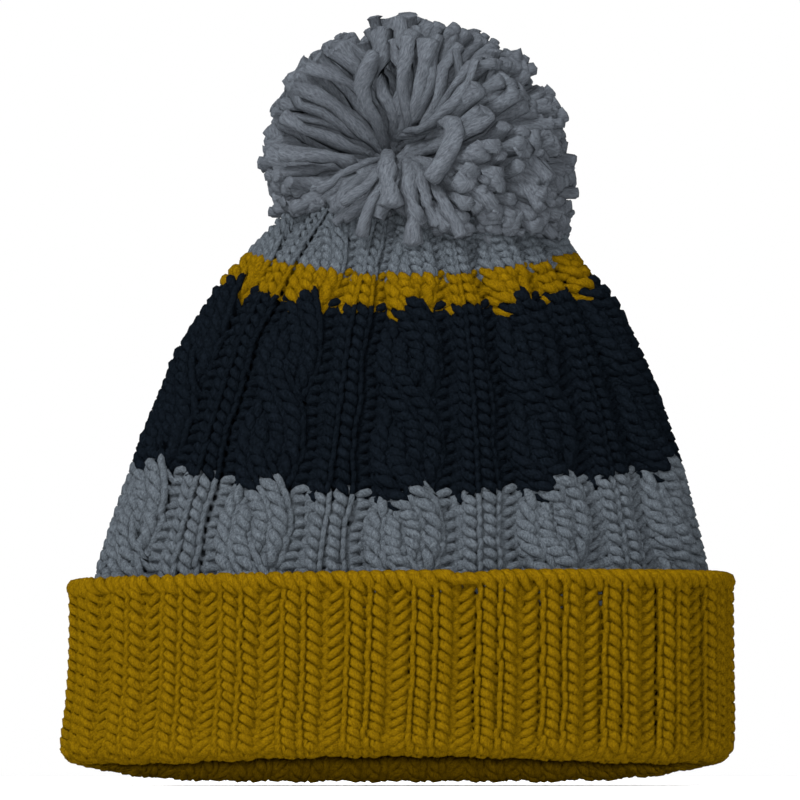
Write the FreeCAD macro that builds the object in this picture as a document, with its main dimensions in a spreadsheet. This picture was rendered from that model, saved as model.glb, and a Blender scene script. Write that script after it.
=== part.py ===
"""A chunky knitted beanie with a turned-up ribbed cuff, colour-banded cable body and a yarn pompom.

Frame: +Z up, the wide side of the hat along X, the front towards -Y, and the origin at the middle of the
oval on which the cuff's fold stands. Lengths are in millimetres.
"""

import FreeCAD, Part
import math
import os
import re

import Sketcher

doc = FreeCAD.newDocument("pompom_beanie")

# ---------------------------------------------------------------- driving sizes
SIZES = [
    ("body_half_width", 109.0, "outside of the knitted body, from the middle to the side"),
    ("body_half_depth", 70.0, "outside of the knitted body, from the middle to the front"),
    ("knit_thickness", 7.0, "thickness of the cabled fabric"),
    ("rib_thickness", 6.5, "thickness of one layer of the ribbed cuff"),
    ("turn_up_gap", 3.0, "slack between the body and the turned-up edge"),
    ("fold_slack", 5.4, "wider slack between the two layers just above the fold"),
    ("cuff_height", 75.5, "from the fold to the turned-up edge"),
    ("rest_flat", 0.3, "how much of the fold's round underside is pressed flat where it stands"),
    ("rib_count", 26, "recessed purl columns round the cuff"),
    ("rib_depth", 2.4, "how far they lie back"),
    ("rib_radius", 3.6, "roundness of each recessed column"),
    ("inner_rib_height", 60.0, "where the rib inside the cuff ends and the lower band starts"),
    ("shoulder_height", 77.0, "where the body starts to lean in"),
    ("crown_height", 212.0, "top of the knitted crown"),
    ("cable_count", 10, "cables round the body"),
    ("cable_share", 0.625, "share of each repeat from one side of a cable to the other"),
    ("groove_depth", 4.4, "depth of the purl grooves beside the cables"),
    ("groove_half_width", 4.2, "half the width of each groove at its mouth"),
    ("dark_band_start", 101.0, "lower edge of the dark band at the front"),
    ("band_edge_radius", 370.0, "sweep of that edge up towards the sides"),
    ("stripe_start", 168.0, "lower edge of the accent stripe at the front"),
    ("stripe_height", 9.5, "height of the accent stripe"),
    ("stripe_edge_radius", 150.0, "sweep of the stripe up towards the sides"),
    ("gather_hole_radius", 6.0, "hole left where the crown is drawn together"),
    ("yarn_radius", 1.7, "half the thickness of the yarn"),
    ("knot_half_width", 8.5, "half the width of the knot inside the crown"),
    ("knot_half_height", 5.0, "half the height of that knot"),
    ("knot_end_length", 9.0, "clipped yarn ends below the knot"),
    ("pivot_drop", 2.0, "how far below the crown's top the pompom rocks"),
    ("tail_reach", 5.0, "from the rocking point up to the tails' upper end"),
    ("pompom_radius", 54.0, "trimmed radius of the pompom"),
    ("pompom_lean", 5.0, "how far the soft ball sits to one side of its binding"),
    ("pompom_overhang", 25.0, "how far the lower strands hang below the middle"),
    ("parting_radius", 33.0, "mouth of the parting, where the strands fall open at the front"),
    ("parting_depth", 22.0, "how far the parting reaches into the ball"),
    ("waist_radius", 6.0, "bundle of strands inside the binding"),
    ("waist_length", 3.7, "how far that bundle stands below the pompom's middle"),
    ("running_gap", 0.3, "clearance between pieces that move on each other"),
    ("soft_gap", 0.5, "clearance between soft pieces that give way"),
]

ALIASES = {alias for alias, _, _ in SIZES}
SIZE = {alias: value for alias, value, _ in SIZES}
sheet = doc.addObject("Spreadsheet::Sheet", "Sizes")
for row, (alias, value, note) in enumerate(SIZES, start=1):
    sheet.set(f"A{row}", alias)
    sheet.set(f"B{row}", str(value))
    sheet.set(f"C{row}", note)
    sheet.setAlias(f"B{row}", alias)
doc.recompute()

UP = FreeCAD.Vector(0, 0, 1)
ALONG_Y = FreeCAD.Rotation(FreeCAD.Vector(1, 0, 0), 90)

# ---------------------------------------------------------------- small helpers


def bind(thing, **expressions):
    """Ties properties to the sheet, where a bare alias in an expression means its cell."""
    for path, words in expressions.items():
        cells = re.sub(r"[a-z_]+", lambda w: f"Sizes.{w[0]}" if w[0] in ALIASES else w[0], words)
        thing.setExpression(path.replace("__", "."), cells)
    return thing


def primitive(kind, name, **expressions):
    return bind(doc.addObject(f"Part::{kind}", name), **expressions)


def cut(name, base, tool):
    piece = doc.addObject("Part::Cut", name)
    piece.Base, piece.Tool = base, tool
    return piece


def common(name, base, tool):
    piece = doc.addObject("Part::Common", name)
    piece.Base, piece.Tool = base, tool
    return piece


def fuse(name, *shapes):
    piece = doc.addObject("Part::MultiFuse", name)
    piece.Shapes = list(shapes)
    return piece


# ---------------------------------------------------------------- knitted body
# The side outline leans in as a cubic, height = 1 - share ** 3, and the plan turns from an oval at the
# cuff into a circle at the crown, because the depth shrinks more slowly, until it meets the width.
DOME_SHARES = (0.95, 0.88, 0.8, 0.7, 0.58, 0.45, 0.3, 0.12)
DEPTH_POWER = 0.8
WALL_STEPS = 2


def dome(name, inset):
    """A closed plain solid of the hat's outline, made smaller all round by the inset expression."""
    width = f"(body_half_width - ({inset}))"
    depth = f"(body_half_depth - ({inset}))"
    rise = f"(crown_height - ({inset}) - shoulder_height)"
    sections = []
    for step in range(WALL_STEPS + 1):
        ring = primitive(
            "Ellipse",
            f"{name}_wall_{step}",
            MajorRadius=width,
            MinorRadius=depth,
            Placement__Base__z=(
                f"inner_rib_height + (shoulder_height - inner_rib_height) * {step} / {WALL_STEPS}"
            ),
        )
        sections.append(ring)
    for number, share in enumerate(DOME_SHARES):
        ring = primitive(
            "Ellipse",
            f"{name}_ring_{number}",
            MajorRadius=f"{width} * {share}",
            MinorRadius=f"min({depth} * {share ** DEPTH_POWER:.5f}; {width} * {share})",
            Placement__Base__z=f"shoulder_height + {rise} * {1 - share ** 3:.5f}",
        )
        sections.append(ring)
    loft = doc.addObject("Part::Loft", name)
    loft.Sections = sections
    loft.Solid = True
    return loft


def edge_above(name, start, radius):
    """A cylinder across the hat: what lies in it is above a colour change that sweeps up to the sides."""
    drum = primitive(
        "Cylinder",
        name,
        Radius=radius,
        Height="body_half_depth * 3",
        Placement__Base__y="body_half_depth * 1.5",
        Placement__Base__z=f"{start} + {radius}",
    )
    drum.Placement.Rotation = ALONG_Y
    return drum


def purl_places():
    """Where the purl grooves cross the oval, one each side of every cable. The first cable is at the
    middle of the front, and the repeats are equal lengths of the fabric."""
    path = Part.Ellipse(FreeCAD.Vector(), SIZE["body_half_width"], SIZE["body_half_depth"]).toShape()
    count = int(SIZE["cable_count"])
    ways = [
        (0.75 + (number + side * SIZE["cable_share"]) / count) % 1
        for number in range(count)
        for side in (-0.5, 0.5)
    ]
    return sorted(path.getParameterByLength(path.Length * way) for way in ways)


def fluted_ring(name, share, height):
    """One outline of the body: the oval, notched at every purl groove. The grooves narrow with it."""
    across = SIZE["body_half_width"] * share
    along = min(SIZE["body_half_depth"] * share ** DEPTH_POWER, across)
    depth, half_width = SIZE["groove_depth"] * share, SIZE["groove_half_width"] * share
    oval = Part.Ellipse(FreeCAD.Vector(0, 0, height), across, along)
    grooves = []
    for around in purl_places():
        outward = FreeCAD.Vector(along * math.cos(around), across * math.sin(around), 0).normalize()
        half_turn = half_width / math.hypot(across * math.sin(around), along * math.cos(around))
        grooves.append((around - half_turn, around + half_turn, oval.value(around) - outward * depth))
    edges = []
    for (start, end, floor), (following, _, _) in zip(grooves, grooves[1:] + grooves[:1]):
        edges.append(Part.LineSegment(oval.value(start), floor).toShape())
        edges.append(Part.LineSegment(floor, oval.value(end)).toShape())
        edges.append(Part.ArcOfEllipse(oval, end, end + (following - end) % math.tau).toShape())
    ring = doc.addObject("Part::Feature", name)
    ring.Shape = Part.Wire(edges)
    return ring


def fluted_dome():
    """The outside of the knitted body, with a purl groove up each side of every cable."""
    low, shoulder = SIZE["inner_rib_height"], SIZE["shoulder_height"]
    rise = SIZE["crown_height"] - shoulder
    levels = [(1, low + (shoulder - low) * step / WALL_STEPS) for step in range(WALL_STEPS + 1)]
    levels += [(share, shoulder + rise * (1 - share ** 3)) for share in DOME_SHARES]
    loft = doc.addObject("Part::Loft", "outer_form")
    loft.Sections = [
        fluted_ring(f"outer_ring_{number}", share, height)
        for number, (share, height) in enumerate(levels)
    ]
    loft.Solid = True
    return loft


gather_hole = primitive(
    "Cylinder", "gather_hole", Radius="gather_hole_radius", Height="crown_height * 2"
)
closed_shell = cut("closed_shell", fluted_dome(), dome("inner_form", "knit_thickness"))
shell = cut("shell", closed_shell, gather_hole)


above_lower_band = edge_above("above_lower_band", "dark_band_start", "band_edge_radius")
above_dark_band = edge_above("above_dark_band", "stripe_start", "stripe_edge_radius")
above_stripe = edge_above("above_stripe", "(stripe_start + stripe_height)", "stripe_edge_radius")

lower_band = cut("lower_band", shell, above_lower_band)
dark_band = cut("dark_band", common("dark_and_up", shell, above_lower_band), above_dark_band)
stripe = cut("accent_stripe", common("stripe_and_up", shell, above_dark_band), above_stripe)

# The thread that draws the crown together lies half sunk in the last course, round the hole.
CROWN_TOP = f"(shoulder_height + (crown_height - shoulder_height) * {1 - DOME_SHARES[-1] ** 3:.5f})"


def thread_ring(name, spare):
    return primitive(
        "Torus",
        name,
        Radius1="gather_hole_radius + yarn_radius * 2",
        Radius2=f"yarn_radius + {spare}",
        Placement__Base__z=CROWN_TOP,
    )


gather_thread = thread_ring("gather_thread", "0")
crown = cut("crown", common("stripe_up", shell, above_stripe), thread_ring("thread_seat", "running_gap"))

# ---------------------------------------------------------------- ribbed cuff
# One ribbed tube, folded: its section is a tall U, swept round the oval of the body. The turned-up layer
# stands away a little more at the fold, which is too springy to lie flat.
FACE, LAYER = SIZE["body_half_width"], SIZE["rib_thickness"]
SLACK, GAP = SIZE["fold_slack"], SIZE["turn_up_gap"]
FOLD_Z, EDGE_Z = SLACK / 2 + LAYER, SIZE["cuff_height"] - LAYER / 2


def cuff_section():
    """The U: inner layer, fold and turned-up layer with its rounded edge."""
    fold_middle, edge_middle = FACE + SLACK / 2, FACE + GAP + LAYER / 2
    inner_top = SIZE["inner_rib_height"]

    def point(x, z):
        return FreeCAD.Vector(x, z, 0)

    def line(x_from, z_from, x_to, z_to):
        return Part.LineSegment(point(x_from, z_from), point(x_to, z_to))

    def half_circle(x, z, radius, start):
        return Part.ArcOfCircle(Part.Circle(point(x, z), UP, radius), start, start + math.pi)

    sketch = doc.addObject("Sketcher::SketchObject", "cuff_section")
    sketch.Placement.Rotation = ALONG_Y
    sketch.addGeometry(
        [
            line(FACE - LAYER, inner_top, FACE - LAYER, FOLD_Z),
            half_circle(fold_middle, FOLD_Z, FOLD_Z, math.pi),
            line(FACE + SLACK + LAYER, FOLD_Z, FACE + GAP + LAYER, EDGE_Z),
            half_circle(edge_middle, EDGE_Z, LAYER / 2, 0),
            line(FACE + GAP, EDGE_Z, FACE + SLACK, FOLD_Z),
            half_circle(fold_middle, FOLD_Z, SLACK / 2, math.pi),
            line(FACE, FOLD_Z, FACE, inner_top),
            line(FACE, inner_top, FACE - LAYER, inner_top),
        ]
    )
    rule = Sketcher.Constraint
    start, end, centre, origin = 1, 2, 3, -1
    sketch.addConstraint(
        [
            rule("Vertical", 0),
            rule("Vertical", 6),
            rule("Horizontal", 7),
            rule("Tangent", 0, end, 1, start),
            rule("Tangent", 1, end, 2, start),
            rule("Tangent", 2, end, 3, start),
            rule("Tangent", 3, end, 4, start),
            rule("Tangent", 4, end, 5, end),
            rule("Tangent", 5, start, 6, start),
            rule("Coincident", 6, end, 7, start),
            rule("Coincident", 7, end, 0, start),
        ]
    )
    for name, kind, *ends, value, words in (
        ("Face", "DistanceX", origin, start, 6, start, FACE, "body_half_width"),
        ("Layer", "DistanceX", 0, start, 6, end, LAYER, "rib_thickness"),
        ("Slack", "Radius", 5, SLACK / 2, "fold_slack / 2"),
        ("Fold", "DistanceY", origin, start, 1, centre, FOLD_Z, "fold_slack / 2 + rib_thickness"),
        ("InnerTop", "DistanceY", origin, start, 0, start, inner_top, "inner_rib_height"),
        ("Gap", "DistanceX", origin, start, 3, centre, edge_middle,
         "body_half_width + turn_up_gap + rib_thickness / 2"),
        ("Edge", "DistanceY", origin, start, 3, centre, EDGE_Z, "cuff_height - rib_thickness / 2"),
    ):
        index = sketch.addConstraint(rule(kind, *ends, value))
        sketch.renameConstraint(index, name)
        bind(sketch, **{f"Constraints__{name}": words})
    return sketch


cuff_path = primitive(
    "Ellipse", "cuff_path", MajorRadius="body_half_width", MinorRadius="body_half_depth"
)
folded_rib = doc.addObject("Part::Sweep", "folded_rib")
folded_rib.Sections = [cuff_section()]
folded_rib.Spine = (cuff_path, ["Edge1"])
folded_rib.Solid = True
folded_rib.Frenet = True


def purl_columns():
    """Leaning round cutters, evenly spaced round the oval, that set the purl columns back between the
    pairs of knit columns. Each leaves the turned-up layer where the fold curves away from it."""
    half_depth, radius = SIZE["body_half_depth"], SIZE["rib_radius"]
    stand_off = LAYER + SLACK + radius - SIZE["rib_depth"]
    lean = math.atan2(SLACK - GAP, EDGE_Z - FOLD_Z)
    path = Part.Ellipse(FreeCAD.Vector(), FACE, half_depth).toShape()
    count = int(SIZE["rib_count"])
    cutters = []
    for number in range(count):
        around = path.getParameterByLength(path.Length * (number + 0.5) / count)
        on_path, along = path.valueAt(around), path.tangentAt(around)
        outward = along.cross(UP).normalize()
        foot = on_path + outward * (stand_off + FOLD_Z * math.tan(lean))
        cutter = primitive(
            "Cylinder", f"purl_column_{number}", Radius="rib_radius", Height="cuff_height * 1.2"
        )
        axis = FreeCAD.Vector(outward.y, -outward.x, 0)
        cutter.Placement = FreeCAD.Placement(foot, FreeCAD.Rotation(axis, math.degrees(lean)))
        cutters.append(cutter)
    return fuse("purl_columns", *cutters)


ribbed = cut("ribbed", folded_rib, purl_columns())
table = primitive(
    "Box",
    "table",
    Length="body_half_width * 4",
    Width="body_half_width * 4",
    Height="cuff_height",
    Placement__Base__x="0 - body_half_width * 2",
    Placement__Base__y="0 - body_half_width * 2",
    Placement__Base__z="0 - cuff_height",
)
bind(folded_rib, Placement__Base__z="0 - rest_flat")
cuff = cut("cuff", ribbed, table)

# ---------------------------------------------------------------- pompom fastening
# The pompom rocks about a point in the gathered hole. The knot is drawn up against the hole from inside,
# so it lies on the hole's lower edge.
PIVOT = "(crown_height - pivot_drop)"
HOLE_SHARE = "gather_hole_radius / knot_half_width"
KNOT_TOP = (
    f"({CROWN_TOP} - knit_thickness - running_gap"
    f" + knot_half_height * (1 - sqrt(1 - ({HOLE_SHARE}) ^ 2)))"
)

knot_ball = primitive(
    "Ellipsoid",
    "knot_ball",
    Radius1="knot_half_height",
    Radius2="knot_half_width",
    Placement__Base__z=f"{KNOT_TOP} - knot_half_height",
)


def clipped_end(side, word):
    """A short yarn end that hangs out of the knot, splayed to one side."""
    stem = primitive(
        "Cylinder",
        f"end_{word}",
        Radius="yarn_radius",
        Height="knot_end_length + knot_half_height",
        Placement__Base__x=f"{side} * knot_half_width * 0.3",
        Placement__Base__z=f"{KNOT_TOP} - knot_half_height * 1.2",
    )
    stem.Placement.Rotation = FreeCAD.Rotation(FreeCAD.Vector(0, 1, 0), 180 - side * 28)
    return stem


anchor_knot = fuse("anchor_knot", knot_ball, clipped_end(-1, "left"), clipped_end(1, "right"))

TAIL_SPREAD = "(yarn_radius + 0.05)"
TAIL_LOW = f"({KNOT_TOP} + soft_gap + yarn_radius)"
TAIL_HIGH = f"({PIVOT} + tail_reach)"


def tail(side, word):
    """One of the two yarn tails, with rounded ends, that join the pompom's binding to the knot."""
    stem = primitive(
        "Cylinder",
        f"tail_stem_{word}",
        Radius="yarn_radius",
        Height=f"{TAIL_HIGH} - {TAIL_LOW}",
        Placement__Base__x=f"{side} * {TAIL_SPREAD}",
        Placement__Base__z=TAIL_LOW,
    )
    tips = [
        primitive(
            "Sphere",
            f"tail_tip_{word}_{end}",
            Radius="yarn_radius",
            Placement__Base__x=f"{side} * {TAIL_SPREAD}",
            Placement__Base__z=height,
        )
        for end, height in (("low", TAIL_LOW), ("high", TAIL_HIGH))
    ]
    return fuse(f"tail_{word}", stem, *tips)


tie_tails = doc.addObject("Part::Compound", "tie_tails")
tie_tails.Links = [tail(-1, "left"), tail(1, "right")]

# ---------------------------------------------------------------- pompom
# The strands' waist clears the tails' tips however far the pompom rocks on them.
WAIST_LOW = f"({PIVOT} + sqrt(tail_reach ^ 2 + {TAIL_SPREAD} ^ 2) + yarn_radius + running_gap)"
MIDDLE = f"({WAIST_LOW} + waist_length)"


def ball(name):
    """The trimmed outline of the whole pompom."""
    return primitive(
        "Sphere",
        name,
        Radius="pompom_radius",
        Placement__Base__x="pompom_lean",
        Placement__Base__z=MIDDLE,
    )


def parting():
    """The shallow cone from which the strands fall open, towards the front, the left and a little up."""
    ball_radius, mouth = "pompom_radius", "parting_radius"
    floor_out = f"({ball_radius} - parting_depth)"
    spread = f"({mouth} / (sqrt({ball_radius} ^ 2 - {mouth} ^ 2) - {floor_out}))"
    out = FreeCAD.Rotation(UP, -PARTING_TURN).multVec(FreeCAD.Vector(0, -math.cos(PARTING_RISE), 0))
    out.z = math.sin(PARTING_RISE)
    cone = primitive(
        "Cone",
        "parting",
        Radius1="0",
        Radius2=f"{spread} * parting_depth * 1.2",
        Height="parting_depth * 1.2",
        Placement__Base__x=f"pompom_lean + {out.x:.5f} * {floor_out}",
        Placement__Base__y=f"{out.y:.5f} * {floor_out}",
        Placement__Base__z=f"{MIDDLE} + {out.z:.5f} * {floor_out}",
    )
    cone.Placement.Rotation = FreeCAD.Rotation(UP, out)
    return cone


PARTING_TURN, PARTING_RISE = 19, math.radians(11)
front_parting = parting()
ball_top = ball("ball_top")
ball_top.Angle1 = 0
waist = primitive(
    "Cylinder",
    "waist",
    Radius="waist_radius",
    Height="waist_length + pompom_radius / 2",
    Placement__Base__z=WAIST_LOW,
)
pompom_upper = cut("pompom_upper_strands", fuse("upper_ball", ball_top, waist), front_parting)

binding_loop = primitive(
    "Torus",
    "binding_loop",
    Radius1="waist_radius + yarn_radius",
    Radius2="yarn_radius",
    Placement__Base__z=f"{MIDDLE} - yarn_radius",
)

lower_slice = primitive(
    "Cylinder",
    "lower_slice",
    Radius="pompom_radius + pompom_lean * 2",
    Height="pompom_overhang - running_gap",
    Placement__Base__z=f"{MIDDLE} - pompom_overhang",
)
strand_bore = primitive(
    "Cylinder",
    "strand_bore",
    Radius="max(waist_radius + yarn_radius * 2; gather_hole_radius + yarn_radius * 3) + soft_gap",
    Height="crown_height * 2",
)
lower_ball = cut("lower_ball", common("ball_slice", ball("ball_whole"), lower_slice), front_parting)
lower_ring = cut("lower_ring", lower_ball, strand_bore)
pompom_lower = cut("pompom_lower_strands", lower_ring, dome("crown_clearance", "0 - soft_gap"))

# ---------------------------------------------------------------- recompute, check and write
doc.recompute()

PIECES = (
    cuff,
    lower_band,
    dark_band,
    stripe,
    crown,
    gather_thread,
    anchor_knot,
    tie_tails,
    binding_loop,
    pompom_upper,
    pompom_lower,
)
for thing in doc.Objects:
    if "Invalid" in thing.State or "Error" in thing.State:
        raise SystemExit(f"{thing.Name} did not compute: {thing.State}")

os.makedirs("parts", exist_ok=True)
for piece in PIECES:
    shape = piece.Shape
    if shape.isNull() or not shape.isValid() or not shape.Solids:
        raise SystemExit(f"{piece.Label} is not a valid solid")
    box = shape.BoundBox
    print(
        f"{piece.Label}: {len(shape.Solids)} solids, {shape.Volume / 1000:.1f} cm3, "
        f"x {box.XMin:.1f}..{box.XMax:.1f} y {box.YMin:.1f}..{box.YMax:.1f} z {box.ZMin:.1f}..{box.ZMax:.1f}"
    )
    shape.exportStep(f"parts/{piece.Label}.step")
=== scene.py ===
import math

import bpy
import numpy as np
from mathutils import Euler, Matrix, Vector


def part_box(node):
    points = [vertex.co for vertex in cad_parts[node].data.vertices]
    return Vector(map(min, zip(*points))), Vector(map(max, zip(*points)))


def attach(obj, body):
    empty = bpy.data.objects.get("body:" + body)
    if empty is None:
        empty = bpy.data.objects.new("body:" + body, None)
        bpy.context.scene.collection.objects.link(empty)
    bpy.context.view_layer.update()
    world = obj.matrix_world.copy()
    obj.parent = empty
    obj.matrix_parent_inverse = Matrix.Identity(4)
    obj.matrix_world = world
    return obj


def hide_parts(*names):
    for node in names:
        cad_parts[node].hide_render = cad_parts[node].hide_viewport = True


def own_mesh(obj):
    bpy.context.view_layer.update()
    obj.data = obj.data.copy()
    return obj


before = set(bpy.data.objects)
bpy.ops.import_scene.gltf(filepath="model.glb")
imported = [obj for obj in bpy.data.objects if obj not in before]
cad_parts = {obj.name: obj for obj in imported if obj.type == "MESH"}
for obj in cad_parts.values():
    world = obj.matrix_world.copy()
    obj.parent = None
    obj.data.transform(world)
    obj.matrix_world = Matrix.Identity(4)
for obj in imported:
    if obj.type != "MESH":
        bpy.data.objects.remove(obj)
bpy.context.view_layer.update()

MM = 0.001

# ---------------------------------------------------------------------------------------------
# The body: a soft tube of cabled knitting in four colour bands, oval at the cuff and drawn in to a
# small ring at the crown. It is knitted round and round in thick, hardly twisted acrylic, and each
# band is the next yarn, joined in between two courses.
# ---------------------------------------------------------------------------------------------
body_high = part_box("lower_band")[1]
HALF_WIDTH = body_high[0] / MM
HALF_DEPTH = body_high[1] / MM
KNIT_THICK = 7.0
SHOULDER = 77.0
CROWN_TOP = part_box("crown")[1][2] / MM
# above the shoulder the sides lean in towards a point just past the crown's top: the width closes as
# the cube root of the height that is left, and the depth more slowly
LEAN_RISE = CROWN_TOP + 0.4 - SHOULDER
LEAN_END = 0.9986
DEPTH_POWER = 0.8
# the top slumps to its wearer's left, by so much at these heights
SLUMP_HEIGHTS = [60, 80, 115, 177, 200, 212]
SLUMP = [0.5, 2.0, 3.5, 5.0, 5.6, 1.5]
# and the sides are drawn in a little more just below the gather
WAIST = 2.6
WAIST_HEIGHT = 182
WAIST_SPREAD = 13


def oval_angle(share):
    """The oval's angle at a share of its girth, counted from the front middle towards +X."""
    angle = np.linspace(-0.5 * math.pi, 1.5 * math.pi, 1441)
    step = np.hypot(np.diff(HALF_WIDTH * np.cos(angle)), np.diff(HALF_DEPTH * np.sin(angle)))
    girth = np.concatenate([[0], np.cumsum(step)])
    turns = np.floor(share)
    return np.interp((share - turns) * girth[-1], girth, angle) + 2 * math.pi * turns


def bump(where, middle, spread):
    """A smooth hump: 1 at its middle and next to nothing two spreads away."""
    return np.exp(-(((where - middle) / spread) ** 2))


def on_body(angle, height, depth):
    """A point on the knitted body and the way out of the fabric there, from an angle round the oval, a
    height and a depth out of the fabric."""
    lean = np.clip((height - SHOULDER) / LEAN_RISE, 0, LEAN_END)
    share = np.cbrt(1 - lean)
    slope = np.where(height > SHOULDER, -1 / (3 * LEAN_RISE * share ** 2), 0)
    inset = KNIT_THICK / 2
    across, along = (HALF_WIDTH - inset) * share, (HALF_DEPTH - inset) * share ** DEPTH_POWER
    across_slope = (HALF_WIDTH - inset) * slope
    along_slope = (HALF_DEPTH - inset) * DEPTH_POWER * share ** (DEPTH_POWER - 1) * slope
    cos, sin = np.cos(angle), np.sin(angle)
    normal = np.stack(
        [along * cos, across * sin, -(across * along_slope * sin ** 2 + along * across_slope * cos ** 2)],
        axis=-1,
    )
    normal /= np.linalg.norm(normal, axis=-1, keepdims=True)
    slump = np.interp(height, SLUMP_HEIGHTS, SLUMP)
    drawn_in = WAIST * bump(height, WAIST_HEIGHT, WAIST_SPREAD)
    point = np.stack([(across - drawn_in) * cos + slump, along * sin, height + 0 * angle], axis=-1)
    return point + normal * depth[..., None], normal


# One stitch of yarn is twelve points: place across the stitch, height in courses, depth and plumpness.
# A knit stitch comes from behind its left neighbour, climbs the plump slanting left leg, passes behind
# as the head and comes down the right leg, which the spin of the yarn pulls straight and thin.
KNIT = np.array([
    (-0.06, -0.62, -0.95, 1.20),
    (0.26, -0.74, -0.70, 1.15),
    (0.62, -0.48, 0.10, 0.62),
    (0.56, -0.18, 1.20, 0.98),
    (0.36, 0.12, 1.15, 1.00),
    (0.16, 0.40, 0.10, 0.64),
    (0.30, 0.84, -0.95, 1.20),
    (0.68, 0.82, -0.90, 1.20),
    (0.88, 0.50, 0.60, 0.56),
    (0.90, 0.04, 1.35, 0.60),
    (0.89, -0.36, 1.20, 0.60),
    (0.84, -0.62, -0.10, 0.66),
])
# A purl stitch has its legs behind and only its head in front, which slants up to the right.
PURL = np.array([
    (-0.06, -0.62, -0.50, 0.70),
    (0.22, -0.66, -0.40, 0.70),
    (0.46, -0.45, -0.80, 1.30),
    (0.32, -0.10, -1.10, 1.75),
    (0.15, 0.20, -1.00, 1.65),
    (0.10, 0.42, -0.10, 0.62),
    (0.32, 0.62, 0.95, 0.84),
    (0.60, 0.86, 1.05, 0.88),
    (0.80, 0.92, 0.00, 0.60),
    (0.92, 0.40, -0.90, 1.50),
    (0.90, -0.20, -1.10, 1.50),
    (0.86, -0.62, -0.50, 0.80),
])
# A cable's stitch is pulled along the rope, so its left leg is long and full and its right leg is tucked
# under the next stitch.
CABLED = np.array([
    (-0.06, -0.62, -0.95, 1.20),
    (0.30, -0.84, -0.60, 1.10),
    (0.72, -0.66, 0.35, 0.72),
    (0.66, -0.24, 1.25, 1.08),
    (0.38, 0.20, 1.30, 1.16),
    (0.08, 0.60, 0.35, 0.76),
    (0.22, 0.88, -0.95, 1.20),
    (0.62, 0.86, -0.90, 1.20),
    (0.88, 0.50, -0.10, 0.80),
    (0.98, 0.06, 0.50, 0.82),
    (0.94, -0.36, 0.30, 0.82),
    (0.85, -0.62, -0.30, 0.80),
])
STITCHES = {"k": KNIT, "p": PURL, "c": CABLED}
SAMPLES = len(KNIT)
LOOP_DEPTH = 1.45
UNEVEN = 0.035
rng = np.random.default_rng(11)


def loops(pattern, course):
    """Stitch number, place, course, depth and plumpness along one course's yarn, worked to a pattern of
    k for knit, p for purl and c for a cable's stitches."""
    number = np.repeat(np.arange(len(pattern)), SAMPLES)
    place, up, depth, plump = np.concatenate([STITCHES[kind] for kind in pattern]).T
    return number, number + place, course + 0.5 + up, depth, plump


SIDES = 7
YARN_TWIST = 0.55
# Noise of this scale, over a point's way round the yarn and its stretched way along it, marks the yarn
# with fibres about half a millimetre wide and just over a millimetre long.
FIBRE_SCALE = 3.4
FIBRE_STRETCH = 0.25


def yarn_mesh(name, courses):
    """One mesh of closed yarns. Each course is its points, its normals and its radii, in millimetres."""
    verts, quads, fibre, base = [], [], [], 0
    ring = 2 * math.pi * np.arange(SIDES) / SIDES
    for points, normals, radii in courses:
        count = len(points)
        ahead = np.roll(points, -1, axis=0) - np.roll(points, 1, axis=0)
        ahead /= np.linalg.norm(ahead, axis=1, keepdims=True)
        out = normals - ahead * np.sum(normals * ahead, axis=1, keepdims=True)
        out /= np.linalg.norm(out, axis=1, keepdims=True)
        side = np.cross(ahead, out)
        around = side[:, None] * np.cos(ring)[None, :, None] + out[:, None] * np.sin(ring)[None, :, None]
        verts.append((points[:, None] + radii[:, None, None] * around).reshape(-1, 3))
        length = np.concatenate([[0], np.cumsum(np.linalg.norm(np.diff(points, axis=0), axis=1))])
        turned = ring[None, :] + YARN_TWIST * length[:, None]
        along = 0 * turned + length[:, None] * FIBRE_STRETCH + rng.uniform(0, 500)
        fibre.append(np.stack([np.cos(turned), np.sin(turned), along], axis=-1).reshape(-1, 3))
        row = np.arange(count)[:, None] * SIDES
        after_row = ((np.arange(count) + 1) % count)[:, None] * SIDES
        col = np.arange(SIDES)[None, :]
        after_col = (col + 1) % SIDES
        corners = [row + col, row + after_col, after_row + after_col, after_row + col]
        quads.append(base + np.stack(corners, axis=-1).reshape(-1, 4))
        base += count * SIDES
    return mesh_object(name, np.concatenate(verts) * MM, np.concatenate(quads), np.concatenate(fibre))


def mesh_object(name, verts, quads, fibre):
    """A smooth object of these faces, with each point's place in its yarn as the attribute fibre."""
    mesh = bpy.data.meshes.new(name)
    mesh.vertices.add(len(verts))
    mesh.vertices.foreach_set("co", verts.astype(np.float32).ravel())
    mesh.loops.add(quads.size)
    mesh.loops.foreach_set("vertex_index", quads.astype(np.int32).ravel())
    mesh.polygons.add(len(quads))
    mesh.polygons.foreach_set("loop_start", np.arange(0, quads.size, quads.shape[1], dtype=np.int32))
    mesh.update(calc_edges=True)
    mesh.shade_smooth()
    along_yarn = mesh.attributes.new("fibre", "FLOAT_VECTOR", "POINT")
    along_yarn.data.foreach_set("vector", fibre.astype(np.float32).ravel())
    thing = bpy.data.objects.new(name, mesh)
    bpy.context.scene.collection.objects.link(thing)
    return thing


def linear(hex_colour):
    """An sRGB hex colour as Blender's linear one."""
    parts = [int(hex_colour[i : i + 2], 16) / 255 for i in (1, 3, 5)]
    return [p / 12.92 if p <= 0.04045 else ((p + 0.055) / 1.055) ** 2.4 for p in parts] + [1.0]


def node(tree, kind, links=(), **settings):
    """Adds a node, sets its properties and sockets, and links its inputs."""
    made = tree.nodes.new(kind)
    for key, value in settings.items():
        if hasattr(made, key):
            setattr(made, key, value)
        else:
            made.inputs[key.replace("_", " ")].default_value = value
    for socket, source in links:
        tree.links.new(source, made.inputs[socket])
    return made


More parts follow.
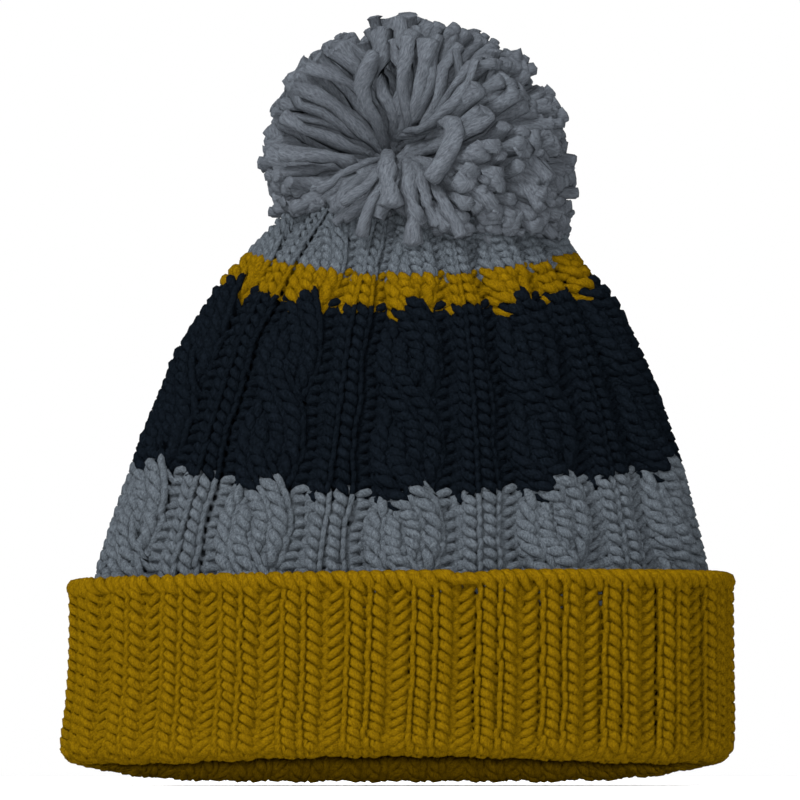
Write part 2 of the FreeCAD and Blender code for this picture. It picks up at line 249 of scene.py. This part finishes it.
def soft_spun_yarn(name, light, dark, sheen, relief_depth=0.9):
    """Matt acrylic roving, spun once and hardly twisted: long fibres run slantwise along the yarn. One noise
    gives both the fibres' relief and a swing from a light to a dark tone, so the dark tone lies in the
    hollows between the fibres. That is partly the yarn's own uneven fibres and partly painted shade in those
    hollows. A halo of loose ends catches a little light at its edges."""
    material = bpy.data.materials.new(name)
    material.use_nodes = True
    tree = material.node_tree
    tree.nodes.clear()
    lie = node(tree, "ShaderNodeAttribute", attribute_name="fibre")
    strands = node(tree, "ShaderNodeTexNoise", [("Vector", lie.outputs["Vector"])],
                   Scale=FIBRE_SCALE, Detail=4.0, Roughness=0.65)
    # the dark tone falls where the relief is lowest, between the fibres: painted shade in those hollows, over
    # the yarn's own uneven tone
    tone = node(tree, "ShaderNodeMapRange", [("Value", strands.outputs["Fac"])], From_Min=0.32, From_Max=0.66)
    colour = node(tree, "ShaderNodeMix", [("Factor", tone.outputs["Result"])], data_type="RGBA")
    colour.inputs["A"].default_value = linear(dark)
    colour.inputs["B"].default_value = linear(light)
    relief = node(tree, "ShaderNodeBump", [("Height", strands.outputs["Fac"])], Strength=1.0)
    relief.inputs["Distance"].default_value = relief_depth * MM
    surface = node(
        tree,
        "ShaderNodeBsdfPrincipled",
        [("Base Color", colour.outputs["Result"]), ("Normal", relief.outputs["Normal"])],
        Roughness=1.0,
        Sheen_Weight=0.05,
        Sheen_Roughness=0.5,
    )
    surface.inputs["Specular IOR Level"].default_value = 0.0
    surface.inputs["Sheen Tint"].default_value = linear(sheen)
    node(tree, "ShaderNodeOutputMaterial", [("Surface", surface.outputs["BSDF"])])
    return material


# A repeat is a knit pair, a purl, a rope cable of four stitches and a purl, ten times round.
BODY_PATTERN = "kkpccccp"
REPEAT = len(BODY_PATTERN)
REPEATS = 10
BODY_STITCHES = REPEAT * REPEATS
CABLE_START = 3
CABLE_MIDDLE = 5.0
CABLE_END = 7
COURSE = 3.94
STITCH = 7.0
YARN = 1.75
# A cable's two strands change places every eighth course, and take some courses over it each way.
CABLE_PERIOD = 8.0
CABLE_FIRST = 0.3
CABLE_TURN = 3.3
CABLE_RISE = 2.3
STRAND_HALF = 1.15
STRAND_ROUND = 1.1
PURL_SLANT = -0.12
# Where the left leg and the right leg of a stitch stand, and the place that parts them.
LEFT_LEG, RIGHT_LEG, BETWEEN_LEGS = 0.36, 0.88, 0.74

# Heights of the courses at the front and at the sides, where they sweep up. Course 0 is the dark
# band's first.
COURSE_KEYS = np.array([-13.0, 0.0, 17.0, 20.0, 24.0, 27.0, 30.0, 33.0])
FRONT_KEYS = np.array([50.0, 101.0, 167.5, 178.5, 191.5, 200.0, 207.0, 211.3])
SIDE_KEYS = np.array([64.0, 114.5, 178.0, 188.5, 199.5, 205.0, 209.5, 211.3])
GATHER_REACH = 40


def cable_lie(place, course, row):
    """Moves the stitches sideways, up and out where the two strands of a cable change places.
    place is counted in stitches from the repeat's start, row says which course the yarn belongs to."""
    repeat = np.floor(place / REPEAT)
    inside = place - REPEAT * repeat
    cross = CABLE_FIRST + CABLE_PERIOD * np.round((row + 0.5 - CABLE_FIRST) / CABLE_PERIOD)
    row_side = np.sign(row + 0.5 - cross + 1e-6)
    swing = np.clip((course - cross) / CABLE_TURN, -1, 1)
    shift, ease = np.sin(0.5 * math.pi * swing), np.cos(0.5 * math.pi * swing)
    in_cable = (inside >= CABLE_START) & (inside < CABLE_END)
    left = inside < CABLE_MIDDLE
    in_front = np.where(left, row_side > 0, row_side < 0)
    strand = np.where(in_front, -shift, shift)
    slope = np.where(in_front, -1, 1) * ease * (0.5 * math.pi / CABLE_TURN) * STITCH / COURSE
    slope = np.where(np.abs(swing) < 1, slope, 0)
    tilt = np.arctan(-slope)
    # the crossing pulls the legs of its stitches a little straighter, most in the strand in front
    leg = np.where(inside % 1 < BETWEEN_LEGS, LEFT_LEG, RIGHT_LEG)
    pulled = inside + np.where(in_front, 0.35, 0.2) * ease * (leg - inside % 1)
    from_strand = pulled - np.where(left, CABLE_MIDDLE - 1, CABLE_MIDDLE + 1)
    crown = STRAND_ROUND * np.cos(0.5 * math.pi * np.clip(from_strand / STRAND_HALF, -1, 1))
    cable_place = CABLE_MIDDLE + strand + from_strand * np.cos(tilt)
    cable_course = course + from_strand * np.sin(tilt) * STITCH / COURSE * 1.05
    cable_depth = crown + 0.6 + np.where(in_front, CABLE_RISE * ease ** 0.6, -1.3 * CABLE_RISE * ease)
    # the fabric beside a crossing is drawn in
    edge = np.where(inside < CABLE_START, inside - CABLE_START, inside - CABLE_END)
    pull = 0.45 * ease * np.clip(1 - np.abs(edge) / 2.0, 0, 1) * -np.sign(edge)
    # the purls lie back on both sides of the cable, and the knit pair stands out between them
    trough = -3.0 * bump(inside, CABLE_START - 0.5, 0.55) - 1.9 * bump(inside, CABLE_END + 0.5, 0.55)
    rib = 0.8 * bump(inside, 1.0, 0.9)
    # the purls take their courses down a little to the right, and the knit pair takes them back up
    slant = PURL_SLANT * np.interp(inside, [0, 2, CABLE_START, CABLE_END, REPEAT], [1, -1, 1, -1, 1])
    slant = np.where(in_cable, 0, slant)
    new_place = np.where(in_cable, cable_place, inside + pull)
    new_course = np.where(in_cable, cable_course, course + slant)
    new_depth = np.where(in_cable, cable_depth, trough + rib)
    return REPEAT * repeat + new_place, new_course, new_depth


def body_yarns(first, last):
    """The body's yarns from one course up to another, with a cable in the middle of the front."""
    courses = []
    for row in range(first, last):
        number, place, course, depth, plump = loops(BODY_PATTERN * REPEATS, row)
        wander = rng.normal(0, UNEVEN, (BODY_STITCHES, 3))[number]
        place, course, lift = cable_lie(place + wander[:, 0], course + wander[:, 1], row)
        angle = oval_angle((place - CABLE_MIDDLE) / BODY_STITCHES)
        front = np.interp(course, COURSE_KEYS, FRONT_KEYS)
        side = np.interp(course, COURSE_KEYS, SIDE_KEYS)
        height = front + (side - front) * np.cos(angle) ** 2
        # towards the gather the stitches crowd, and their yarn is squeezed
        gather = np.clip((CROWN_TOP - height) / GATHER_REACH, 0.25, 1) ** 0.5
        points, normals = on_body(angle, height, (LOOP_DEPTH * depth + lift) * gather)
        courses.append((points, normals, YARN * plump * gather * (1 + wander[:, 2])))
    return courses


GREY = soft_spun_yarn("grey_marl_acrylic_yarn", "#41464B", "#202428", sheen="#8A929C")
NAVY = soft_spun_yarn("blue_black_acrylic_yarn", "#090D12", "#020304", sheen="#1C2530")
MUSTARD = soft_spun_yarn("mustard_acrylic_yarn", "#564103", "#382802", sheen="#A88A00")

for name, first, last, material, cad_node, slot in (
    ("lower_band_knit", -11, 0, GREY, "lower_band", "grey_yarn"),
    ("dark_band_knit_low", 0, 9, NAVY, "dark_band", "dark_navy_yarn"),
    ("dark_band_knit_high", 9, 17, NAVY, None, "dark_navy_yarn"),
    ("stripe_knit", 17, 20, MUSTARD, "accent_stripe", "mustard_yarn"),
    ("crown_knit", 20, 32, GREY, "crown", "grey_yarn"),
):
    piece = yarn_mesh(name, body_yarns(first, last))
    piece.data.materials.append(material)
    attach(piece, "hat")
    if cad_node:
        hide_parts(cad_node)

# ---------------------------------------------------------------------------------------------
# The cuff: acrylic ribbing of two knit and one purl, twenty-six ribs round, folded up once. The fold is
# springy and round, and the turned-up layer shows the ribs upside down, with the cast-on edge at its top.
# ---------------------------------------------------------------------------------------------
RIB_PATTERN = "kkp"
RIB_STITCHES = 26 * len(RIB_PATTERN)
RIB_COURSE = 4.15
RIB_SLANT = 0.45
RIB_THICK = 6.5
RIB_YARN = 1.68
INNER_YARN = 1.12 * RIB_YARN
CUFF_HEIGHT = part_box("cuff")[1][2] / MM
fold_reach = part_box("cuff")[1][0] / MM - HALF_WIDTH
FOLD_SLACK = fold_reach - RIB_THICK
FOLD_SPREAD = 9.0
EDGE_GAP = 3.0
CAST_ON = 1.5
INNER_TOP = 60.0
# the turned-up courses come first, and the inner ones after them
INNER_FIRST = 19
WALL_STEPS, FOLD_STEPS, INNER_STEPS = 40, 22, 30
# the place in the ribbing, a purl column, that stands at the middle of the front
FRONT_PLACE = 2.5


def cuff_profile():
    """The middle of the folded layer, from the turned-up edge down, round the fold and up inside, as
    its distance out from the body and its height, with the direction out of its face."""
    radius = FOLD_SLACK / 2 + RIB_THICK / 2
    middle, low = FOLD_SLACK / 2, FOLD_SLACK / 2 + RIB_THICK
    top_out, low_out = EDGE_GAP + RIB_THICK / 2, FOLD_SLACK + RIB_THICK / 2
    heights = np.linspace(CUFF_HEIGHT - CAST_ON, low, WALL_STEPS)
    outs = np.interp(heights, [low, CUFF_HEIGHT], [low_out, top_out])
    turn = np.linspace(0, math.pi, FOLD_STEPS + 2)[1:-1]
    outs = np.concatenate([outs, middle + radius * np.cos(turn), np.full(INNER_STEPS, -RIB_THICK / 2)])
    heights = np.concatenate([heights, low - radius * np.sin(turn), np.linspace(low, INNER_TOP, INNER_STEPS)])
    face_out = np.concatenate([np.ones(WALL_STEPS), np.cos(turn), -np.ones(INNER_STEPS)])
    face_up = np.concatenate([np.zeros(WALL_STEPS), -np.sin(turn), np.zeros(INNER_STEPS)])
    length = np.concatenate([[0], np.cumsum(np.hypot(np.diff(outs), np.diff(heights)))])
    return length, outs, heights, face_out, face_up


CUFF_LINE = cuff_profile()
# how far along that line the fold turns, where its face looks neither out nor in
round_fold = slice(0, WALL_STEPS + FOLD_STEPS)
FOLD_AT = float(np.interp(0, -CUFF_LINE[3][round_fold], CUFF_LINE[0][round_fold]))


def on_cuff(angle, down, depth):
    """A point on the folded layer and the way out of its face there, from an angle round the oval, a way
    down from the turned-up edge and a depth out of the face."""
    length, outs, heights, face_out, face_up = CUFF_LINE
    out, height = np.interp(down, length, outs), np.interp(down, length, heights)
    fo, fu = np.interp(down, length, face_out), np.interp(down, length, face_up)
    cos, sin = np.cos(angle), np.sin(angle)
    level = np.stack([HALF_DEPTH * cos, HALF_WIDTH * sin, 0 * cos], axis=-1)
    level /= np.linalg.norm(level, axis=-1, keepdims=True)
    up = np.array([0, 0, 1.0])
    face = level * fo[..., None] + up * fu[..., None]
    face /= np.linalg.norm(face, axis=-1, keepdims=True)
    # the fold is not level: its front and its corners ride up a little from where the back stands
    front = np.clip(-sin, 0, 1)
    rise = 10.0 * front ** 1.2 + 7.0 * np.abs(cos) ** 6
    upper = np.clip(height / CUFF_HEIGHT, 0, 1)
    height = height + rise * np.clip(1 - height / 60, 0, 1) ** 2 + upper * (1.3 * cos - 1.1)
    # the layer leans to its wearer's left towards the edge, and the other side is drawn in half way up
    lean = 2.0 * upper - 0.7 + 1.8 * np.sin(math.pi * upper) * np.clip(-cos, 0, 1)
    point = np.stack([HALF_WIDTH * cos + lean, HALF_DEPTH * sin, height], axis=-1)
    return point + level * out[..., None] + face * depth[..., None], face


def rib_wave(place):
    """1 on the middle of a rib's knit pair and lowest on the purl."""
    return np.cos(2 * math.pi * (place - 1.0) / 3)


def cuff_yarns(first, last):
    """The cuff's yarns from one course to another, counted from the cast-on edge."""
    courses = []
    for row in range(first, last):
        number, place, course, depth, plump = loops(RIB_PATTERN * (RIB_STITCHES // 3), row)
        wander = rng.normal(0, UNEVEN, (RIB_STITCHES, 3))[number]
        place, course = place + wander[:, 0], course + wander[:, 1]
        # the fabric is upside down here, so its slants turn with it
        course = course + RIB_SLANT * np.interp(place % 3, [0, 2, 3], [1, -1, 1])
        rib = rib_wave(place)
        lift = np.where(rib > 0, 0.5 * rib, 1.2 * rib)
        # the ribs spread flat and even where the fabric turns
        down = course * RIB_COURSE + CAST_ON
        fold = bump(down, FOLD_AT, FOLD_SPREAD)
        flat = 1 - 0.75 * fold
        plump = plump + 0.7 * fold * (1.1 - plump)
        angle = oval_angle(-(place - FRONT_PLACE) / RIB_STITCHES)
        points, normals = on_cuff(angle, down, (LOOP_DEPTH * depth + lift) * flat)
        yarn = RIB_YARN if row < INNER_FIRST else INNER_YARN
        courses.append((points, normals, yarn * plump * (1 + wander[:, 2]) * (1 + 0.15 * fold)))
    return courses


def cast_on_yarns():
    """The cuff's first edge: two turns of yarn wound unevenly round each other and through the stitches,
    five times for every six of them."""
    wind = 5 / 3 * math.pi
    turn = np.arange(RIB_STITCHES * SAMPLES) / SAMPLES
    rib = rib_wave(turn)
    angle = oval_angle(-(turn - FRONT_PLACE) / RIB_STITCHES)
    uneven = 1 + np.interp(turn, np.arange(RIB_STITCHES), rng.normal(0, 0.35, RIB_STITCHES))
    turn = turn + np.interp(turn, np.arange(RIB_STITCHES), rng.normal(0, 0.16, RIB_STITCHES))
    yarns = []
    for lead in (0, math.pi):
        phase = wind * turn + lead
        down = 1.4 + 2.3 * uneven * np.cos(phase)
        points, normals = on_cuff(angle, down, 1.8 * np.sin(phase) + 0.5 * rib)
        yarns.append((points, normals, RIB_YARN * (1.15 - 0.25 * np.cos(phase))))
    return yarns


for name, first, last, cad_node in (
    ("cuff_turn_up_high", 0, 10, "cuff"),
    ("cuff_turn_up_low", 10, INNER_FIRST, None),
    ("cuff_inner_rib", INNER_FIRST, 33, None),
):
    piece = yarn_mesh(name, cuff_yarns(first, last) + (cast_on_yarns() if first == 0 else []))
    piece.data.materials.append(MUSTARD)
    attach(piece, "hat")
    if cad_node:
        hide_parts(cad_node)

# ---------------------------------------------------------------------------------------------
# The pompom: thick roving laid in a bundle, tied tight round its middle and cut at both ends. The cut
# strands spring out from the tie to a trimmed ball. Towards the front they part, so that their sides
# show, and the lowest lie on the crown or hang over it.
# ---------------------------------------------------------------------------------------------
TIE = np.array([3.0, -3.0, 220.0])
BALL = np.array([7.0, 0.0, 219.0])
BALL_RADIUS = 54.5
BALL_FLOOR = 198.0
LOW_BELOW = 208
STRANDS = 1650
TUFTS = 150
CLING = 0.22
WOBBLE = 3.8
PLACED_WOBBLE = 1.5
CURL_THICK = 4.2
STRAND_THICK = 3.3
STRAND_SIDES = 6
STRAND_STEPS = 9
ROVING_TWIST = 0.12
ROVING_ROUND = 1.4
ROVING_STRETCH = 0.12


def strands_mesh(name, paths, thick):
    """One mesh of cut strands. paths is strands by steps by 3, thick is strands by steps, in millimetres."""
    many = len(thick)
    ahead = np.gradient(paths, axis=1)
    ahead /= np.linalg.norm(ahead, axis=2, keepdims=True)
    # the cut end is blunt: three short rings round it off and close it
    end, end_thick, end_ahead = paths[:, -1:], thick[:, -1:], ahead[:, -1:]
    for beyond, share in ((0.6, 0.92), (1.0, 0.62), (1.1, 0.0)):
        paths = np.concatenate([paths, end + end_ahead * beyond], axis=1)
        thick = np.concatenate([thick, end_thick * share], axis=1)
        ahead = np.concatenate([ahead, end_ahead], axis=1)
    total = paths.shape[1]
    helper = np.where(np.abs(ahead[:, :1, 2:]) > 0.9, [[[1.0, 0, 0]]], [[[0, 0, 1.0]]])
    side = np.cross(ahead, np.broadcast_to(helper, ahead.shape))
    side /= np.linalg.norm(side, axis=2, keepdims=True)
    out = np.cross(side, ahead)
    ring = 2 * math.pi * np.arange(STRAND_SIDES) / STRAND_SIDES
    flat = rng.uniform(0.55, 1.0, (many, 1, 1, 1))
    lumpy = 1 + rng.normal(0, 0.13, (many, total, STRAND_SIDES, 1)) + rng.normal(0, 0.11, (many, total, 1, 1))
    points = paths[:, :, None] + thick[:, :, None, None] * lumpy * (
        side[:, :, None] * np.cos(ring)[:, None] + out[:, :, None] * np.sin(ring)[:, None] * flat
    )
    length = np.concatenate(
        [np.zeros((many, 1)), np.cumsum(np.linalg.norm(np.diff(paths, axis=1), axis=2), axis=1)], axis=1
    )
    turned = ring[None, None] + ROVING_TWIST * length[:, :, None] + rng.uniform(0, 6, (many, 1, 1))
    along = 0 * turned + ROVING_STRETCH * length[:, :, None] + rng.uniform(0, 900, (many, 1, 1))
    fibre = np.stack([np.cos(turned) * ROVING_ROUND, np.sin(turned) * ROVING_ROUND, along], axis=-1)
    start = np.arange(many)[:, None, None] * total * STRAND_SIDES
    row = start + np.arange(total - 1)[None, :, None] * STRAND_SIDES
    col = np.arange(STRAND_SIDES)[None, None]
    after = (col + 1) % STRAND_SIDES
    quads = np.stack([row + col, row + after, row + after + STRAND_SIDES, row + col + STRAND_SIDES], axis=-1)
    return mesh_object(name, points.reshape(-1, 3) * MM, quads.reshape(-1, 4), fibre.reshape(-1, 3))


def strand_paths(starts, bends, tips, wobble):
    """Each strand's way from its start past its bend to its tip, with a wobble in millimetres."""
    step = np.linspace(0, 1, STRAND_STEPS)[None, :, None]
    paths = (
        starts[:, None] * (1 - step) ** 2 + 2 * bends[:, None] * step * (1 - step) + tips[:, None] * step ** 2
    )
    sway = rng.normal(0, wobble, (len(starts), 1, 3))
    curl = rng.normal(0, wobble * 0.4, (len(starts), 1, 3))
    kink = rng.normal(0, wobble * 0.2, (len(starts), 1, 3))
    way = sway * np.sin(math.pi * step) + curl * np.sin(2 * math.pi * step)
    way = way + kink * np.sin(5 * math.pi * step)
    return paths + way * step


def ball_strands(many):
    """The starts, bends and tips of the strands of the ball, spread evenly but for their tufts."""
    number = np.arange(many) + 0.5
    lift = 1 - 2 * number / many
    turn = math.pi * (1 + 5 ** 0.5) * number
    flat = np.sqrt(1 - lift ** 2)
    # the pole is the front parting, lift runs from front to back
    way = np.stack([flat * np.cos(turn), -lift, flat * np.sin(turn)], axis=-1)
    way += rng.normal(0, 0.07, way.shape)
    # the strands cling together in tufts
    tuft = rng.normal(0, 1, (TUFTS, 3))
    tuft /= np.linalg.norm(tuft, axis=1, keepdims=True)
    nearest = np.argmax(way @ tuft.T, axis=1)
    way += CLING * (tuft[nearest] - way)
    way /= np.linalg.norm(way, axis=1, keepdims=True)
    off_front = np.arccos(np.clip(-way[:, 1], -1, 1))
    around = np.arctan2(way[:, 2], way[:, 0])
    # the parting is wide towards the upper left and narrow towards the lower right
    part = np.radians(38 + 22 * np.cos(around - np.radians(150)))
    opened = part + (math.pi - part) * (off_front / math.pi) ** 1.05
    off_axis = np.sin(opened)
    way = np.stack([off_axis * np.cos(around), -np.cos(opened), off_axis * np.sin(around)], axis=-1)
    reach = BALL_RADIUS * (0.97 + rng.normal(0, 0.02, TUFTS)[nearest] + rng.normal(0, 0.025, many))
    # the trimming left it fuller at the upper left and the lower right
    reach *= 1 + 0.12 * np.clip(-way[:, 0] * way[:, 2], 0, 1)
    tips = BALL + way * reach[:, None]
    tips[:, 0] += 3.0 * np.clip((222 - tips[:, 2]) / 18, 0, 1)
    front = np.clip(-way[:, 1:2] * 1.5 + 0.2, -1, 1)
    starts = TIE + way * 5.0
    starts = starts + rng.normal(0, 4.5, (TUFTS, 3))[nearest] + rng.normal(0, 2.0, (many, 3))
    starts[:, 2] = np.maximum(starts[:, 2], TIE[2] - 1.5)
    bends = TIE + (tips - TIE) * 0.42 + front * np.array([[0, -9.0, 0]])
    bends += rng.normal(0, 6.0, (TUFTS, 3))[nearest]
    return starts, bends, tips


def crown_height_at(points):
    """The height of the crown's outside under each point."""
    low, high = np.full(len(points), 0.12), np.ones(len(points))
    for _ in range(30):
        share = (low + high) / 2
        inside = (points[:, 0] / (HALF_WIDTH * share)) ** 2 + (
            points[:, 1] / (HALF_DEPTH * share ** DEPTH_POWER)
        ) ** 2 < 1
        high, low = np.where(inside, share, high), np.where(inside, low, share)
    return SHOULDER + LEAN_RISE * (1 - high ** 3)


starts, bends, tips = ball_strands(STRANDS)
# the lowest lie down on the crown
rest = crown_height_at(tips) + 3.0
flattened = np.maximum(BALL_FLOOR + rng.normal(0, 2.0, len(tips)), rest)
tips[:, 2] = np.where(tips[:, 2] < flattened, flattened + (tips[:, 2] - flattened) * 0.12, tips[:, 2])
tips[:, 2] = np.maximum(tips[:, 2], rest - 2)
bends[:, 2] = np.maximum(bends[:, 2], crown_height_at(bends) + 6.0)

# the few that hang forward from the tie and fold down over the crown. Its depth closes with the height
# that is left to this power, about a third of DEPTH_POWER because of the cube root.
FRONT_POWER = 0.267
fan = np.radians(np.array([-68, -50, -30, -22, -6, 4, 18, 30, 42, 60]) + rng.normal(0, 4, 10))
drop = rng.uniform(22, 31, 10)
hang = np.stack([5.0 + drop * np.sin(fan) * 1.25, 0 * fan, 221 - drop * np.cos(fan)], axis=-1)
hang[:, 1] = -HALF_DEPTH * np.clip(1 - (hang[:, 2] - SHOULDER) / LEAN_RISE, 0, 1) ** FRONT_POWER
hang[:, 1] = np.minimum(hang[:, 1] - 5, -44)
root = TIE + np.stack([3 * np.sin(fan), -22 + 0 * fan, 1 + 0 * fan], axis=-1)
over = (root + hang) / 2 + np.stack([0 * fan, -14 + 0 * fan, 7 + 0 * fan], axis=-1)
# and two that curl over in the mouth of the parting
curls = np.array([
    [(4, -14, 230), (31, -48, 243), (12, -48, 213)],
    [(-3, -26, 224), (-4, -48, 219), (-2, -50, 204)],
], dtype=float)
starts = np.concatenate([starts, root, curls[:, 0]])
bends = np.concatenate([bends, over, curls[:, 1]])
tips = np.concatenate([tips, hang, curls[:, 2]])
wobble = np.full((len(starts), 1, 1), WOBBLE)
wobble[STRANDS:] = PLACED_WOBBLE
paths = strand_paths(starts, bends, tips, wobble)
# a strand is squeezed thin in the tie and opens out towards its cut end
opening = np.linspace(0.35, 1.0, STRAND_STEPS) ** 0.5
thick = STRAND_THICK * (1 + rng.normal(0, 0.15, (len(paths), 1))) * opening
thick[-len(curls):] = CURL_THICK * np.linspace(0.7, 1, STRAND_STEPS)

# Roving is spun even less than the knitting yarn, so its fibres are longer and its relief is softer.
ROVING = soft_spun_yarn("grey_roving_yarn", "#3D4146", "#27292D", sheen="#8A929C", relief_depth=0.6)
low = tips[:, 2] < LOW_BELOW
sideways = np.abs(tips[:, 0]) > np.abs(tips[:, 1])
for name, chosen, cad_node, joint in (
    ("pompom_strands", ~low, "pompom_upper_strands", None),
    ("pompom_side_strands", low & sideways, "pompom_lower_strands", "pompom_sway"),
    ("pompom_front_back_strands", low & ~sideways, None, "pompom_nod"),
):
    piece = strands_mesh(name, paths[chosen], thick[chosen])
    piece.data.materials.append(ROVING)
    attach(piece, "pompom")
    if cad_node:
        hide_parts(cad_node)
    if joint:
        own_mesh(piece)

# ---------------------------------------------------------------------------------------------
# The fastening: a thread gathers the crown's last course, a doubled yarn binds the pompom's middle,
# and its two tails pass down through the gathered hole to a knot inside the crown. All are lengths of
# the grey knitting yarn.
# ---------------------------------------------------------------------------------------------
TAIL_YARN = 1.7
WRAP_YARN = 2.0
WRAP_RADIUS = 6.3
END_YARN = 1.6


def yarn_ring(middle, radius, tilt=0.0, turn=0.0, flat=1.0):
    """The points and directions of a ring of yarn, tilted and turned in degrees."""
    around = np.linspace(0, 2 * math.pi, 64, endpoint=False)
    lean = Euler((math.radians(tilt), 0, math.radians(turn))).to_matrix()
    ring = np.stack([np.cos(around), np.sin(around) * flat, 0 * around], axis=-1) * radius
    points = ring @ np.array(lean).T
    return points + np.array(middle), points / np.linalg.norm(points, axis=1, keepdims=True)


def cad_ring(cad_node):
    """The middle of a ring of yarn as built, its radius and the radius of its yarn."""
    low, high = np.array(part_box(cad_node)) / MM
    return (low + high) / 2, (high[0] - low[0]) / 2 - TAIL_YARN, (high[2] - low[2]) / 2


for name, cad_node, body in (
    ("gather_thread_yarn", "gather_thread", "hat"),
    ("binding_yarn", "binding_loop", "pompom"),
):
    middle, radius, thick_yarn = cad_ring(cad_node)
    points, normals = yarn_ring(middle, radius)
    piece = yarn_mesh(name, [(points, normals, np.full(len(points), thick_yarn))])
    piece.data.materials.append(GREY)
    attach(piece, body)
    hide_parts(cad_node)

knot_low, knot_high = np.array(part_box("anchor_knot")) / MM
tails_low, tails_high = np.array(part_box("tie_tails")) / MM
knot_middle = np.array([0, 0, knot_high[2] - 5.0])
wraps = []
for tilt, turn, flat in (
    (0, 0, 0.95), (28, 20, 0.9), (-25, 75, 0.9), (20, 130, 0.9), (-12, 10, 0.6), (10, 95, 0.55),
):
    points, normals = yarn_ring(knot_middle, WRAP_RADIUS, tilt, turn, flat)
    points[:, 2] = knot_middle[2] + (points[:, 2] - knot_middle[2]) * 0.9
    wraps.append((points, normals, np.full(len(points), WRAP_YARN)))
knot = yarn_mesh("anchor_knot_yarn", wraps)
knot.data.materials.append(GREY)
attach(knot, "knot")
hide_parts("anchor_knot")

sides = np.array([-1.0, 1.0])
ends_from = knot_middle + np.stack([sides * 2.0, 0 * sides, 0 * sides - 2.0], axis=-1)
ends_to = np.stack([sides * (knot_high[0] - 2.5), 0 * sides, knot_low[2] + 2.6 + 0 * sides], axis=-1)
tail_x = np.stack([sides * (TAIL_YARN + 0.05), 0 * sides, 0 * sides], axis=-1)
tails_from, tails_to = tail_x + [0, 0, tails_low[2] + 1.5], tail_x + [0, 0, tails_high[2] - 3]
for name, cad_node, body, first, last in (
    ("clipped_yarn_ends", None, "knot", ends_from, ends_to),
    ("tie_tail_yarns", "tie_tails", "neck", tails_from, tails_to),
):
    paths = strand_paths(first, (first + last) / 2, last, 0.2)
    piece = strands_mesh(name, paths, np.full((2, STRAND_STEPS), END_YARN))
    piece.data.materials.append(GREY)
    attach(piece, body)
    if cad_node:
        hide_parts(cad_node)

# ---------------------------------------------------------------------------------------------
# The room: a plain floor painted matt white, a soft key light from the upper left, a weak fill, a low
# front light that reaches under the cuff, and a camera square to the front.
# ---------------------------------------------------------------------------------------------
bpy.ops.mesh.primitive_plane_add(size=8.0, location=(0, 0, 0))
floor = bpy.context.object
floor.name = "floor"
paint = bpy.data.materials.new("matt_white_floor")
paint.use_nodes = True
paint.node_tree.nodes["Principled BSDF"].inputs["Base Color"].default_value = linear("#F4F4F4")
paint.node_tree.nodes["Principled BSDF"].inputs["Roughness"].default_value = 0.9
floor.data.materials.append(paint)

world = bpy.data.worlds.new("studio")
bpy.context.scene.world = world
world.use_nodes = True
world.node_tree.nodes["Background"].inputs["Color"].default_value = (1, 1, 1, 1)
world.node_tree.nodes["Background"].inputs["Strength"].default_value = 1.0

hat_middle = Vector((0, 0, 0.12))
for name, place, size, power in (
    ("key", (-0.7, -1.1, 1.3), 0.6, 78.0),
    ("fill", (0.9, -1.0, 0.7), 1.2, 8.0),
    ("low", (0.0, -2.9, 0.04), 0.06, 108.0),
):
    lamp = bpy.data.lights.new(name, "AREA")
    lamp.size = size
    lamp.energy = power
    light = bpy.data.objects.new(name, lamp)
    light.location = place
    light.rotation_euler = (hat_middle - Vector(place)).to_track_quat("-Z", "Y").to_euler()
    bpy.context.scene.collection.objects.link(light)

lens = bpy.data.cameras.new("camera")
lens.lens = 330
lens.sensor_width = 36
camera = bpy.data.objects.new("camera", lens)
stand = Vector((0.001, -2.62, 0.006))
aim = Vector((0.001, 0.0, 0.1377))
camera.location = stand
camera.rotation_euler = (aim - stand).to_track_quat("-Z", "Y").to_euler()
bpy.context.scene.collection.objects.link(camera)
bpy.context.scene.camera = camera
bpy.context.scene.view_settings.view_transform = "Standard"
